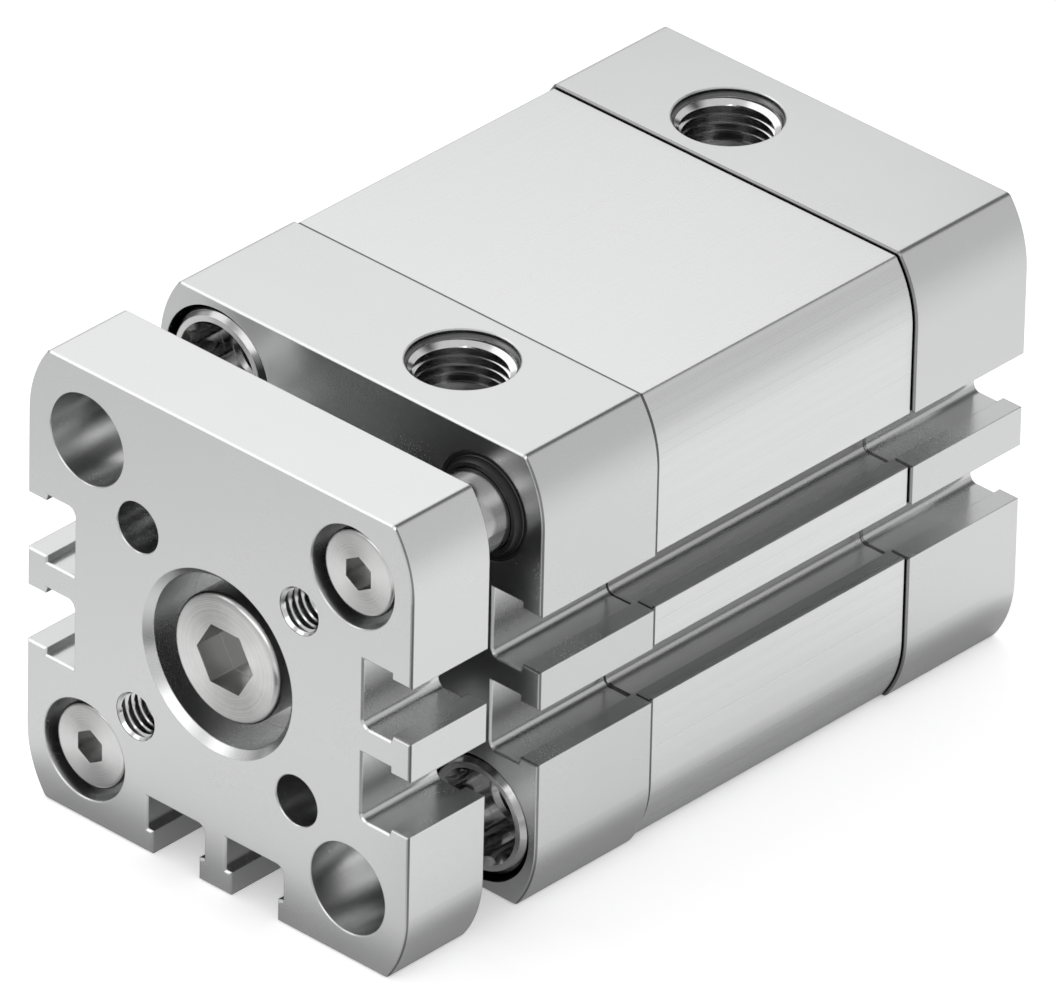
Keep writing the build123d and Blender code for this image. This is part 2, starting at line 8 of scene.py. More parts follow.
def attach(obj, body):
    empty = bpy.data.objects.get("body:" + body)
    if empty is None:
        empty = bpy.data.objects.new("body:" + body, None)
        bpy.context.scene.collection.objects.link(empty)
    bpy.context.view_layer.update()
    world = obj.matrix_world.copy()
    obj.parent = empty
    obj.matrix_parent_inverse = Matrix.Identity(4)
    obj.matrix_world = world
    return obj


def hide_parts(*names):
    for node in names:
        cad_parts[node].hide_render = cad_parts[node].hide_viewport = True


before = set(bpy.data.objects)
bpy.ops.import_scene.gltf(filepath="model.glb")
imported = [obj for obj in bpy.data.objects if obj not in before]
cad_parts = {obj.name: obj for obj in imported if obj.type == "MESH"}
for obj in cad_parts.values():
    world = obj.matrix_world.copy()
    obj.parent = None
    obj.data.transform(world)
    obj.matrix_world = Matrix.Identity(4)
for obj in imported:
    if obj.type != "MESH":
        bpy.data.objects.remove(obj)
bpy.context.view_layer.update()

# Barrel
# Extruded aluminium tube with T-slots in its sides. It is anodised, and its outside
# carries the fine lines of brushing along its length.

MM = 0.001
NUMBER_RESULTS = ("LENGTH", "DISTANCE", "DOT_PRODUCT")


def feed(tree, socket, value):
    """Link a socket to the given one, or set it to the given constant."""
    if isinstance(value, bpy.types.NodeSocket):
        tree.links.new(value, socket)
    else:
        socket.default_value = value


def calculate(tree, operation, *values):
    """Result of a math node, whose values are numbers or sockets."""
    node = tree.nodes.new("ShaderNodeMath")
    node.operation = operation
    for socket, value in zip(node.inputs, values):
        feed(tree, socket, value)
    return node.outputs[0]


def calculate_vector(tree, operation, *values):
    """Result of a vector math node: a number for NUMBER_RESULTS, else a vector."""
    node = tree.nodes.new("ShaderNodeVectorMath")
    node.operation = operation
    for socket, value in zip(node.inputs, values):
        feed(tree, socket, value)
    return node.outputs["Value" if operation in NUMBER_RESULTS else "Vector"]


def split(tree, vector):
    """The sockets X, Y and Z of a vector."""
    node = tree.nodes.new("ShaderNodeSeparateXYZ")
    tree.links.new(vector, node.inputs[0])
    return node.outputs


def join(tree, *parts):
    """Vector of three sockets."""
    node = tree.nodes.new("ShaderNodeCombineXYZ")
    for socket, part in zip(node.inputs, parts):
        tree.links.new(part, socket)
    return node.outputs[0]


def blend(tree, factor, first, second):
    """The first number where the factor is 0, and the second one where it is 1."""
    node = tree.nodes.new("ShaderNodeMix")
    feed(tree, node.inputs["Factor"], factor)
    feed(tree, node.inputs["A"], first)
    feed(tree, node.inputs["B"], second)
    return node.outputs["Result"]


def blend_colours(tree, factor, first, second):
    """The first colour where the factor is 0, and the second one where it is 1."""
    node = tree.nodes.new("ShaderNodeMix")
    node.data_type = "RGBA"
    feed(tree, node.inputs["Factor"], factor)
    feed(tree, node.inputs[6], first)
    feed(tree, node.inputs[7], second)
    return node.outputs[2]


def remap(tree, value, before, after=(0.0, 1.0), smooth=False):
    """Value carried from one range to another, and held at its ends."""
    node = tree.nodes.new("ShaderNodeMapRange")
    if smooth:
        node.interpolation_type = "SMOOTHSTEP"
    tree.links.new(value, node.inputs["Value"])
    node.inputs["From Min"].default_value = before[0]
    node.inputs["From Max"].default_value = before[1]
    node.inputs["To Min"].default_value = after[0]
    node.inputs["To Max"].default_value = after[1]
    return node.outputs["Result"]


def between(tree, value, low, high):
    """1 where a value lies between two limits."""
    above = calculate(tree, "GREATER_THAN", value, low)
    below = calculate(tree, "LESS_THAN", value, high)
    return calculate(tree, "MULTIPLY", above, below)


def open_group(name, inputs):
    """Node group with a Vector, the named numbers and a Value output, and its inputs."""
    group = bpy.data.node_groups.new(name, "ShaderNodeTree")
    group.interface.new_socket("Vector", in_out="INPUT", socket_type="NodeSocketVector")
    for socket, value in inputs.items():
        made = group.interface.new_socket(socket, in_out="INPUT", socket_type="NodeSocketFloat")
        made.default_value = value
    group.interface.new_socket("Value", in_out="OUTPUT", socket_type="NodeSocketFloat")
    return group, group.nodes.new("NodeGroupInput").outputs


def close_group(group, value):
    """The node group, once this socket is its Value output."""
    group.links.new(value, group.nodes.new("NodeGroupOutput").inputs["Value"])
    return group


def spread(tree, noise):
    """Stretch a noise, which stays near its middle, to the whole range from 0 to 1."""
    return remap(tree, noise.outputs["Fac"], (0.3, 0.7))


def grain_noise(tree, vector, sizes, detail):
    """Noise from 0 to 1 whose grains have the given sizes along X, Y and Z."""
    noise = tree.nodes.new("ShaderNodeTexNoise")
    noise.inputs["Scale"].default_value = 1
    noise.inputs["Detail"].default_value = detail
    where = calculate_vector(tree, "DIVIDE", vector, join(tree, *sizes))
    tree.links.new(where, noise.inputs["Vector"])
    return spread(tree, noise)


def brushing_group():
    """Lines of brushing along Y: fine ones with broader, softer bands among them."""
    group, given = open_group("brushing", {"Width": 0.2, "Length": 60.0, "Bands": 0.35})
    band_breadth = 9
    layers = []
    for factor in (1, band_breadth):
        width = calculate(group, "MULTIPLY", given["Width"], factor)
        layers.append(grain_noise(group, given["Vector"], (width, given["Length"], width), detail=3))
    return close_group(group, blend(group, given["Bands"], *layers))


def slots_group():
    """1 inside the T-slots: nearer a middle plane than Side and less far out than Out."""
    group, given = open_group("slots", {"Side": 8.2, "Out": 22.95})
    parts = split(group, given["Vector"])
    far = [calculate(group, "ABSOLUTE", parts[axis]) for axis in ("X", "Z")]
    least = calculate(group, "MINIMUM", *far)
    most = calculate(group, "MAXIMUM", *far)
    near = calculate(group, "LESS_THAN", least, given["Side"])
    within = calculate(group, "LESS_THAN", most, given["Out"])
    return close_group(group, calculate(group, "MULTIPLY", near, within))


def band_group():
    """1 in a band across the axis, between From and To."""
    group, given = open_group("band", {"From": 0.0, "To": 1.0})
    parts = split(group, given["Vector"])
    return close_group(group, between(group, parts["Y"], given["From"], given["To"]))


def rounding_group():
    """Normal that shows every sharp edge rounded by the given radius in metres."""
    group = bpy.data.node_groups.new("rounding", "ShaderNodeTree")
    radius = group.interface.new_socket("Radius", in_out="INPUT", socket_type="NodeSocketFloat")
    radius.default_value = 0.12 * MM
    group.interface.new_socket("Normal", in_out="OUTPUT", socket_type="NodeSocketVector")
    given = group.nodes.new("NodeGroupInput")
    edges = group.nodes.new("ShaderNodeBevel")
    edges.samples = 4
    result = group.nodes.new("NodeGroupOutput")
    group.links.new(given.outputs["Radius"], edges.inputs["Radius"])
    group.links.new(edges.outputs["Normal"], result.inputs["Normal"])
    return group


brushing = brushing_group()
slots = slots_group()
band = band_group()
rounding = rounding_group()


def grey(value, warm=0.0):
    """Nearly neutral colour of the given level, a little warmer or cooler."""
    return (value + warm, value, value - warm)


def new_finish(name, colour, metallic, roughness):
    """Material with its Principled shader, whose even values are set on its sockets."""
    material = bpy.data.materials.new(name)
    material.use_nodes = True
    shader = material.node_tree.nodes["Principled BSDF"]
    shader.inputs["Base Color"].default_value = (*colour, 1)
    shader.inputs["Metallic"].default_value = metallic
    shader.inputs["Roughness"].default_value = roughness
    return material


def place_pattern(material, group, centre=(0, 0, 0), fold=False, **numbers):
    """Mask of a pattern group in a material, on object coordinates in millimetres.

    With fold, what lies at negative X is turned half round the Y axis, so that two equal
    pieces, one each side of the axis, share the pattern round one centre.
    """
    tree = material.node_tree
    coordinates = tree.nodes.new("ShaderNodeTexCoord").outputs["Object"]
    if fold:
        parts = split(tree, coordinates)
        side = calculate(tree, "SIGN", parts["X"])
        turned_x = calculate(tree, "MULTIPLY", parts["X"], side)
        turned_z = calculate(tree, "MULTIPLY", parts["Z"], side)
        coordinates = join(tree, turned_x, parts["Y"], turned_z)
    mapping = tree.nodes.new("ShaderNodeMapping")
    mapping.vector_type = "POINT"
    mapping.inputs["Scale"].default_value = (1 / MM,) * 3
    mapping.inputs["Location"].default_value = [-c for c in centre]
    tree.links.new(coordinates, mapping.inputs["Vector"])
    pattern = tree.nodes.new("ShaderNodeGroup")
    pattern.node_tree = group
    for socket, value in numbers.items():
        pattern.inputs[socket].default_value = value
    tree.links.new(mapping.outputs[0], pattern.inputs["Vector"])
    return pattern.outputs["Value"]


def steer(material, mask, colours, roughness, relief, edge=0.0):
    """Let a mask from 0 to 1 vary a finish's colour, its roughness and its relief.

    relief is a height in millimetres, and edge the radius by which sharp edges look rounded.
    """
    tree = material.node_tree
    shader = tree.nodes["Principled BSDF"]
    tint = blend_colours(tree, mask, (*colours[0], 1), (*colours[1], 1))
    tree.links.new(tint, shader.inputs["Base Color"])
    tree.links.new(remap(tree, mask, (0, 1), roughness), shader.inputs["Roughness"])
    bump = tree.nodes.new("ShaderNodeBump")
    bump.inputs["Distance"].default_value = relief * MM
    tree.links.new(mask, bump.inputs["Height"])
    tree.links.new(bump.outputs["Normal"], shader.inputs["Normal"])
    if edge:
        rounded = tree.nodes.new("ShaderNodeGroup")
        rounded.node_tree = rounding
        rounded.inputs["Radius"].default_value = edge * MM
        tree.links.new(rounded.outputs["Normal"], bump.inputs["Normal"])


def shade(material, mask, colour, strength=1.0):
    """Mix an even colour over a finish where a mask is 1, to paint shade there."""
    tree = material.node_tree
    base = tree.nodes["Principled BSDF"].inputs["Base Color"]
    amount = calculate(tree, "MULTIPLY", mask, strength)
    tree.links.new(blend_colours(tree, amount, base.links[0].from_socket, (*colour, 1)), base)


def dress(material, *names):
    """Give a material to these parts from model.glb."""
    for name in names:
        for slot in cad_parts[name].material_slots:
            slot.material = material


WARM = 0.002
COOL = -0.002
EDGE = 0.15
brushed_aluminium = new_finish("brushed_aluminium", grey(0.66), metallic=1, roughness=0.36)
lines = place_pattern(brushed_aluminium, brushing, Width=0.16, Length=240, Bands=0.4)
line_colours = (grey(0.59, COOL), grey(0.66, COOL))
steer(brushed_aluminium, lines, line_colours, roughness=(0.25, 0.33), relief=0.0012, edge=EDGE)
inside = place_pattern(brushed_aluminium, slots)
outside = calculate(brushed_aluminium.node_tree, "SUBTRACT", 1, inside)
# Painted shade darkens the inside of the T-slots.
shade(brushed_aluminium, inside, grey(0.3), 0.35)

# Each joint with a cap gets a line of painted shade at the end of the barrel, finer in the
# slots. It is given from and to its places along Y, with its mask and its level of grey.
BARREL_FRONT = 15.0
BARREL_REAR = 49.0
BARREL_JOINT_SHADES = (
    (BARREL_FRONT - 0.1, BARREL_FRONT + 0.37, outside, 0.12),
    (BARREL_FRONT - 0.1, BARREL_FRONT + 0.13, inside, 0.06),
    (BARREL_REAR - 0.22, BARREL_REAR + 0.1, outside, 0.03),
)
for start, end, area, level in BARREL_JOINT_SHADES:
    joint = place_pattern(brushed_aluminium, band, From=start, To=end)
    line = calculate(brushed_aluminium.node_tree, "MULTIPLY", joint, area)
    shade(brushed_aluminium, line, grey(level))
dress(brushed_aluminium, "barrel")

# Caps
# Two blocks of aluminium with the barrel's slots, milled, bead blasted and anodised.
# Each carries an air port with a tapped thread, whose turns start in a countersink.

HALF_SECTION = 23.5


def blasting_group():
    """Fine even grain of a blasted and anodised face, with faint clouds in it."""
    group, given = open_group("blasting", {"Grain": 0.12, "Clouds": 6.0, "Cloudiness": 0.4})
    layers = []
    for socket in ("Grain", "Clouds"):
        layers.append(grain_noise(group, given["Vector"], (given[socket],) * 3, detail=2))
    return close_group(group, blend(group, given["Cloudiness"], *layers))


def well_group():
    """1 on the wall of a round well along Z, between Wall and Rim from its axis.

    It reaches from the height Top down to the height Floor.
    """
    group, given = open_group("well", {"Wall": 5.0, "Rim": 5.4, "Top": -0.1, "Floor": -1.0})
    parts = split(group, given["Vector"])
    flat = calculate_vector(group, "MULTIPLY", given["Vector"], (1, 1, 0))
    radius = calculate_vector(group, "LENGTH", flat)
    around = between(group, radius, given["Wall"], given["Rim"])
    deep = between(group, parts["Z"], given["Floor"], given["Top"])
    return close_group(group, calculate(group, "MULTIPLY", around, deep))


def right_group():
    """1 to the right of the plane at X equal to From, between Near and Far along Y."""
    group, given = open_group("right", {"From": 0.0, "Near": 0.0, "Far": 1.0})
    parts = split(group, given["Vector"])
    beyond = calculate(group, "GREATER_THAN", parts["X"], given["From"])
    across = between(group, parts["Y"], given["Near"], given["Far"])
    return close_group(group, calculate(group, "MULTIPLY", beyond, across))


blasting = blasting_group()
well = well_group()
right_strip = right_group()


def satin_finish(name, level, edge=EDGE):
    """Blasted and anodised aluminium of one level of grey."""
    contrast = 0.006
    material = new_finish(name, grey(level), metallic=1, roughness=0.4)
    grain = place_pattern(material, blasting, Grain=0.14, Clouds=7, Cloudiness=0.35)
    colours = (grey(level - contrast, COOL), grey(level + contrast, COOL))
    steer(material, grain, colours, roughness=(0.24, 0.28), relief=0.0002, edge=edge)
    return material


def paint_corner_shade(material, near):
    """Painted shade: a dark line down the right side, next to its front edge and behind the given Y.
    """
    width = 0.16
    corner_start = 21.2
    strip = place_pattern(material, right_strip, From=corner_start, Near=near, Far=near + width)
    shade(material, strip, grey(0.12), 0.8)


def add_ridge(shape, mouth, outward, length, thread, lead=None, through=False):
    """Add the turned ridge of an inside thread, from its mouth inwards.

    thread gives the radii of its wall and of its crest, and its pitch. The ridge is swept
    along a helix, cut flush at both ends, and chamfered at its mouth from the radius lead,
    and also at its far end where the hole goes through.
    """
    wall, crest, pitch = thread
    steps = 48
    bite = 0.03
    foot = 0.44 * pitch
    tip = 0.07 * pitch
    turns = ceil(length / pitch) + 2
    ridge = bmesh.new()
    outline = [(wall + bite, foot), (crest, tip), (crest, -tip), (wall + bite, -foot)]
    points = [ridge.verts.new((r, 0, z + pitch)) for r, z in outline]
    edges = [ridge.edges.new((points[i - 1], points[i])) for i in range(len(points))]
    bmesh.ops.spin(
        ridge,
        geom=points + edges,
        cent=(0, 0, 0),
        axis=(0, 0, 1),
        dvec=(0, 0, -pitch / steps),
        angle=-2 * pi * turns,
        steps=steps * turns,
        use_merge=False,
        use_duplicate=False,
    )
    for height, side in ((0, 1), (-length, -1)):
        cut = bmesh.ops.bisect_plane(
            ridge,
            geom=ridge.verts[:] + ridge.edges[:] + ridge.faces[:],
            plane_co=(0, 0, height),
            plane_no=(0, 0, side),
            clear_outer=True,
        )
        rim = [e for e in cut["geom_cut"] if isinstance(e, bmesh.types.BMEdge)]
        bmesh.ops.holes_fill(ridge, edges=rim, sides=0)
    for vert in ridge.verts:
        radius = vert.co.xy.length
        depth = -vert.co.z
        if through:
            depth = min(depth, length + vert.co.z)
        least = (lead or wall) - depth
        if radius < least:
            vert.co.xy *= least / radius
    turn = Vector((0, 0, 1)).rotation_difference(Vector(outward)).to_matrix().to_4x4()
    place = Matrix.Translation(Vector(mouth) * MM) @ turn
    bmesh.ops.scale(ridge, vec=(MM, MM, MM), verts=ridge.verts)
    bmesh.ops.transform(ridge, matrix=place, verts=ridge.verts)
    scratch = bpy.data.meshes.new("scratch")
    ridge.to_mesh(scratch)
    ridge.free()
    shape.from_mesh(scratch)
    bpy.data.meshes.remove(scratch)


def finish_piece(shape, name, material, body, sharp=30):
    """Turn a bmesh into a piece that rides on a body, smooth but for its sharp edges."""
    bmesh.ops.recalc_face_normals(shape, faces=shape.faces)
    mesh = bpy.data.meshes.new(name)
    shape.to_mesh(mesh)
    shape.free()
    mesh.shade_smooth()
    mesh.set_sharp_from_angle(angle=radians(sharp))
    mesh.materials.append(material)
    piece = bpy.data.objects.new(name, mesh)
    bpy.context.scene.collection.objects.link(piece)
    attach(piece, body)
    return piece


# Painted shade darkens the front edge of the rear cap at its joint, and less so behind it.
# Each line is given from and to its distances behind the joint, with its level of grey.
CAP_JOINT_SHADES = ((-0.03, 0.03, 0.04), (0.03, 0.2, 0.2))
cap_aluminium = satin_finish("cap_aluminium", 0.56)
for start, end, level in CAP_JOINT_SHADES:
    joint = place_pattern(cap_aluminium, band, From=BARREL_REAR + start, To=BARREL_REAR + end)
    shade(cap_aluminium, joint, grey(level), 0.9)

PORTS = ((5.986, 8.1), (-5.986, 55.9))
WELL_SIZES = {"Wall": 4.8, "Top": -0.14, "Floor": -0.735}
# Painted shade darkens the wall round the mouth of each port.
for x, y in PORTS:
    port_wall_shade = place_pattern(cap_aluminium, well, (x, y, HALF_SECTION), **WELL_SIZES)
    shade(cap_aluminium, port_wall_shade, grey(0.06), 0.85)
# Painted shade down the right side of the front cap, beside its front edge.
paint_corner_shade(cap_aluminium, 0.06)
dress(cap_aluminium, "front_cap", "rear_cap")

cut_aluminium = new_finish("cut_aluminium", grey(0.6), metallic=1, roughness=0.22)
tool_marks = place_pattern(cut_aluminium, blasting, Grain=0.3, Clouds=2, Cloudiness=0.5)
mark_colours = (grey(0.62), grey(0.68))
steer(cut_aluminium, tool_marks, mark_colours, roughness=(0.1, 0.16), relief=0.0003)

# Each thread is given by the radii of its wall and of its crest, and by its pitch.
PORT_THREAD = (4.864, 4.283, 0.907)
PORT_MOUTH = 22.764
PORT_LENGTH = 6.264
port_threads = bmesh.new()
for x, y in PORTS:
    add_ridge(port_threads, (x, y, PORT_MOUTH), (0, 0, 1), PORT_LENGTH, PORT_THREAD)
finish_piece(port_threads, "port_threads", cut_aluminium, "housing")

CORNER = 16.25
BODY_END = 64.0
M6_THREAD = (3.0, 2.46, 1.0)
REAR_TAPPED_LENGTH = 14.0
SCREW_CORNERS = ((-CORNER, CORNER), (CORNER, -CORNER))
GUIDE_CORNERS = ((CORNER, CORNER), (-CORNER, -CORNER))
rear_cap_threads = bmesh.new()
for x, z in SCREW_CORNERS:
    add_ridge(rear_cap_threads, (x, BODY_END, z), (0, 1, 0), REAR_TAPPED_LENGTH, M6_THREAD)
finish_piece(rear_cap_threads, "rear_cap_threads", cut_aluminium, "housing")

# Collar screws
# Turned steel screws, nickel plated, that clamp each cap to the barrel. A star socket
# in the head takes the key, and below it a thread takes the user's own screw.


def turning_group():
    """Rings left by turning round the Y axis, on the end faces and along the sides.

    Two lobes of painted sheen lie across each face. Inside a socket, at less than Reach from the
    axis and away from the face at the height Face, the metal is plain.
    """
    numbers = {"Pitch": 0.12, "Wander": 0.3, "Sheen": 0.0, "Reach": 0.0, "Face": 0.0}
    lobe_direction = (0.92, 0, 0.39)
    patch_scale = 0.6
    face_depth_squared = 0.02
    plain_level = 0.4
    group, given = open_group("turning", numbers)
    parts = split(group, given["Vector"])
    flat = calculate_vector(group, "MULTIPLY", given["Vector"], (1, 0, 1))
    radius = calculate_vector(group, "LENGTH", flat)
    total = calculate(group, "ADD", radius, parts["Y"])
    rings = group.nodes.new("ShaderNodeTexNoise")
    rings.noise_dimensions = "1D"
    rings.inputs["Scale"].default_value = 1
    rings.inputs["Detail"].default_value = 3
    group.links.new(calculate(group, "DIVIDE", total, given["Pitch"]), rings.inputs["W"])
    patches = group.nodes.new("ShaderNodeTexNoise")
    patches.inputs["Scale"].default_value = patch_scale
    group.links.new(given["Vector"], patches.inputs["Vector"])
    turned = blend(group, given["Wander"], spread(group, rings), spread(group, patches))
    facing = calculate_vector(group, "NORMALIZE", flat)
    along = calculate_vector(group, "DOT_PRODUCT", facing, lobe_direction)
    lobes = calculate(group, "MULTIPLY", along, along)
    lit = blend(group, given["Sheen"], turned, lobes)
    depth = calculate(group, "SUBTRACT", parts["Y"], given["Face"])
    squared = calculate(group, "MULTIPLY", depth, depth)
    below = calculate(group, "GREATER_THAN", squared, face_depth_squared)
    near = calculate(group, "LESS_THAN", radius, given["Reach"])
    in_socket = calculate(group, "MULTIPLY", near, below)
    return close_group(group, blend(group, in_socket, lit, plain_level))


def ring_group():
    """1 in a ring round the Y axis, between the radii From and To."""
    group, given = open_group("ring", {"From": 0.0, "To": 1.0})
    flat = calculate_vector(group, "MULTIPLY", given["Vector"], (1, 0, 1))
    radius = calculate_vector(group, "LENGTH", flat)
    return close_group(group, between(group, radius, given["From"], given["To"]))


turning = turning_group()
ring = ring_group()


def turned_finish(
    name, level, roughness, centre=(0, 0, 0), fold=False, relief=0.003, contrast=0.06, **numbers
):
    """Turned metal whose rings run round the axis of the piece."""
    polish = (roughness - 0.05, roughness + 0.05)
    edge = 0.12
    material = new_finish(name, grey(level), metallic=1, roughness=roughness)
    rings = place_pattern(material, turning, centre, fold, **numbers)
    colours = (grey(level - contrast, WARM), grey(level + contrast, WARM))
    steer(material, rings, colours, polish, relief, edge)
    return material


# Painted shade on the chamfer of the head, a painted shadow round its foot and painted
# shade inside the socket, each as two radii, a level of grey and the strength of that grey.
COLLAR_SHADES = ((5.32, 5.74, 0.2, 0.5), (5.74, 6.1, 0.0, 0.97), (0.0, 4.7, 0.22, 0.55))
# Turning rings of the collar screws, with painted sheen across their faces.
COLLAR_RINGS = {"contrast": 0.08, "Sheen": 0.4, "Reach": 4.8}


def collar_finish(name, z, face):
    """Steel of two collar screws, the right one at the height z, with its head at face, and painted
    shade on the head.
    """
    centre = (CORNER, 0, z)
    metal = turned_finish(name, 0.62, 0.17, centre, True, Face=face, **COLLAR_RINGS)
    for start, end, level, strength in COLLAR_SHADES:
        zone = place_pattern(metal, ring, centre, True, From=start, To=end)
        shade(metal, zone, grey(level), strength)
    return metal


collar_steel = collar_finish("collar_steel", -CORNER, 0)
rear_collar_steel = collar_finish("rear_collar_steel", CORNER, BODY_END)
dress(collar_steel, "front_collar_screws")
dress(rear_collar_steel, "rear_collar_screws")

FRONT_THREAD_MOUTH = 5.0
REAR_THREAD_MOUTH = 59.0
FIXING_LENGTH = 10.0
front_threads = bmesh.new()
for x, z in SCREW_CORNERS:
    mouth = (x, FRONT_THREAD_MOUTH, z)
    add_ridge(front_threads, mouth, (0, -1, 0), FIXING_LENGTH, M6_THREAD)
finish_piece(front_threads, "front_fixing_threads", collar_steel, "housing")
rear_threads = bmesh.new()
for x, z in GUIDE_CORNERS:
    mouth = (x, REAR_THREAD_MOUTH, z)
    add_ridge(rear_threads, mouth, (0, 1, 0), FIXING_LENGTH, M6_THREAD)
finish_piece(rear_threads, "rear_fixing_threads", rear_collar_steel, "housing")

# Bushes, seals and wipers
# Sleeves of bearing metal guide the rods. Moulded rubber rings seal them and wipe them,
# and stop the piston at its ends. Only the two wipers show.

rubber = new_finish("black_rubber", grey(0.018), metallic=0, roughness=0.5)
moulding = place_pattern(rubber, blasting, Grain=0.25, Clouds=3, Cloudiness=0.5)
steer(rubber, moulding, (grey(0.008), grey(0.016)), roughness=(0.32, 0.45), relief=0.002)
dress(
    rubber,
    "front_cap_o_ring",
    "rear_cap_o_ring",
    "front_cushion_ring",
    "rear_cushion_ring",
    "rod_seal",
    "piston_front_seal",
    "piston_rear_seal",
    "guide_wiper_right",
    "guide_wiper_left",
)
bearing_metal = new_finish("bearing_metal", (0.5, 0.4, 0.24), metallic=1, roughness=0.3)
bronze_grain = place_pattern(bearing_metal, blasting, Grain=0.2, Clouds=2, Cloudiness=0.4)
bronze_colours = ((0.45, 0.35, 0.2), (0.56, 0.45, 0.28))
steer(bearing_metal, bronze_grain, bronze_colours, roughness=(0.25, 0.38), relief=0.003)
dress(bearing_metal, "rod_bush", "guide_bush_right", "guide_bush_left")

# Radius against Y: the seat, the outer lip, a groove and the lip that wipes the rod.
WIPER_PROFILE = (
    (4.06, 3.0),
    (5.28, 3.0),
    (5.28, 0.16),
    (5.18, 0.06),
    (5.02, 0.06),
    (4.94, 0.14),
    (4.84, 0.14),
    (4.76, 0.02),
    (4.62, 0.02),
    (4.44, -0.68),
    (4.3, -0.7),
    (4.06, -0.7),
)


def turn_ring(shape, profile, x, z, steps=96):
    """Spin a closed profile of radius against Y once round the line through (x, z)."""
    points = [shape.verts.new(((x + r) * MM, y * MM, z * MM)) for r, y in profile]
    edges = [shape.edges.new((points[i - 1], points[i])) for i in range(len(points))]
    bmesh.ops.spin(
        shape,
        geom=points + edges,
        cent=(x * MM, 0, z * MM),
        axis=(0, 1, 0),
        dvec=(0, 0, 0),
        angle=2 * pi,
        steps=steps,
        use_merge=True,
        use_duplicate=False,
    )


for side, (x, z) in zip(("right", "left"), GUIDE_CORNERS):
    wiper = bmesh.new()
    turn_ring(wiper, WIPER_PROFILE, x, z)
    piece = finish_piece(wiper, "wiper_" + side, rubber, "housing", sharp=50)
    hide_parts("guide_wiper_" + side)

# Rods and piston
# Ground and hard chromed rods. The piston is turned from aluminium in two halves, with a
# ring magnet, a guide ring of plastic and two seals, all hidden in the barrel.

GUIDE_CENTRE = (CORNER, 0, CORNER)
GROUND = {"relief": 0.0001, "contrast": 0.015, "Pitch": 0.3}
rod_steel = turned_finish("rod_steel", 0.42, 0.14, **GROUND)
dress(rod_steel, "piston_rod")
guide_rod_steel = turned_finish("guide_rod_steel", 0.42, 0.14, GUIDE_CENTRE, True, **GROUND)
dress(guide_rod_steel, "guide_rod_right", "guide_rod_left")
piston_aluminium = turned_finish("piston_aluminium", 0.6, 0.3)
dress(piston_aluminium, "piston_front_half", "piston_rear_half")

magnet_compound = new_finish("magnet_compound", grey(0.05), metallic=0, roughness=0.6)
filler = place_pattern(magnet_compound, blasting, Grain=0.3, Clouds=2, Cloudiness=0.3)
filler_colours = (grey(0.04), grey(0.07))
steer(magnet_compound, filler, filler_colours, roughness=(0.5, 0.7), relief=0.004)
dress(magnet_compound, "piston_magnet")
ring_plastic = new_finish("ring_plastic", (0.4, 0.36, 0.3), metallic=0, roughness=0.45)
weave = place_pattern(ring_plastic, blasting, Grain=0.2, Clouds=3, Cloudiness=0.3)
weave_colours = ((0.36, 0.32, 0.26), (0.45, 0.41, 0.35))
steer(ring_plastic, weave, weave_colours, roughness=(0.4, 0.55), relief=0.003)
dress(ring_plastic, "piston_guide_ring")

# Plate
# Block of the caps' aluminium that the rods carry. Two tapped holes and two dowel holes
# lie on one circle round its middle bore.

PLATE_FRONT = -16.7
PLATE_THICKNESS = 10.0
PLATE_LEVEL = 0.605
plate_aluminium = satin_finish("plate_aluminium", PLATE_LEVEL)
# Painted shade down the right side of the plate, beside its front edge.
paint_corner_shade(plate_aluminium, PLATE_FRONT + 0.08)
dress(plate_aluminium, "yoke_plate")

TAPPED_STEP = 9.8995
M5_THREAD = (2.5, 2.07, 0.8)
M5_LEAD = 2.45
# Radius against depth: a flat rim, a step down and the countersink of the thread.
MOUTH_PROFILE = (
    (2.78, -0.002),
    (2.38, -0.002),
    (2.38, 0.1),
    (2.12, 0.36),
    (2.52, 0.36),
    (2.52, 0.12),
)
mouth_metal = satin_finish("mouth_metal", PLATE_LEVEL, edge=0)
plate_threads = bmesh.new()
mouth_rings = bmesh.new()
mouth_profile = [(radius, PLATE_FRONT + depth) for radius, depth in MOUTH_PROFILE]
for step in (TAPPED_STEP, -TAPPED_STEP):
    mouth = (step, PLATE_FRONT, step)
    add_ridge(
        plate_threads, mouth, (0, -1, 0), PLATE_THICKNESS, M5_THREAD, lead=M5_LEAD, through=True
    )
    turn_ring(mouth_rings, mouth_profile, step, step)
finish_piece(plate_threads, "plate_threads", cut_aluminium, "carriage")
finish_piece(mouth_rings, "thread_mouths", mouth_metal, "carriage")

# Socket screws
# Plated steel screws that join the rods to the plate and the piston to its rod. Their
# faces are turned, with a rounded rim, and their hexagon sockets are pressed.

ROD_SCREW_FACE = -15.7
GUIDE_SCREW_FACE = -15.95
# Turning rings with two lobes of painted sheen across each screw face.
FACED = {"contrast": 0.22, "Pitch": 0.09, "Sheen": 0.6}
screw_steel = turned_finish("screw_steel", 0.5, 0.2, Reach=3.5, Face=ROD_SCREW_FACE, **FACED)
dress(screw_steel, "rod_screw", "piston_screw")
guide_screw_steel = turned_finish(
    "guide_screw_steel", 0.52, 0.2, GUIDE_CENTRE, True, Reach=1.8, Face=GUIDE_SCREW_FACE, **FACED
)
dress(guide_screw_steel, "guide_rod_screws")

# Floor, light and camera
# A pale floor under three soft lamps, in a white room whose ceiling is darker at the back.
# The camera stands far off, at the angle of the photograph.

scene = bpy.context.scene
scene.view_settings.view_transform = "Standard"

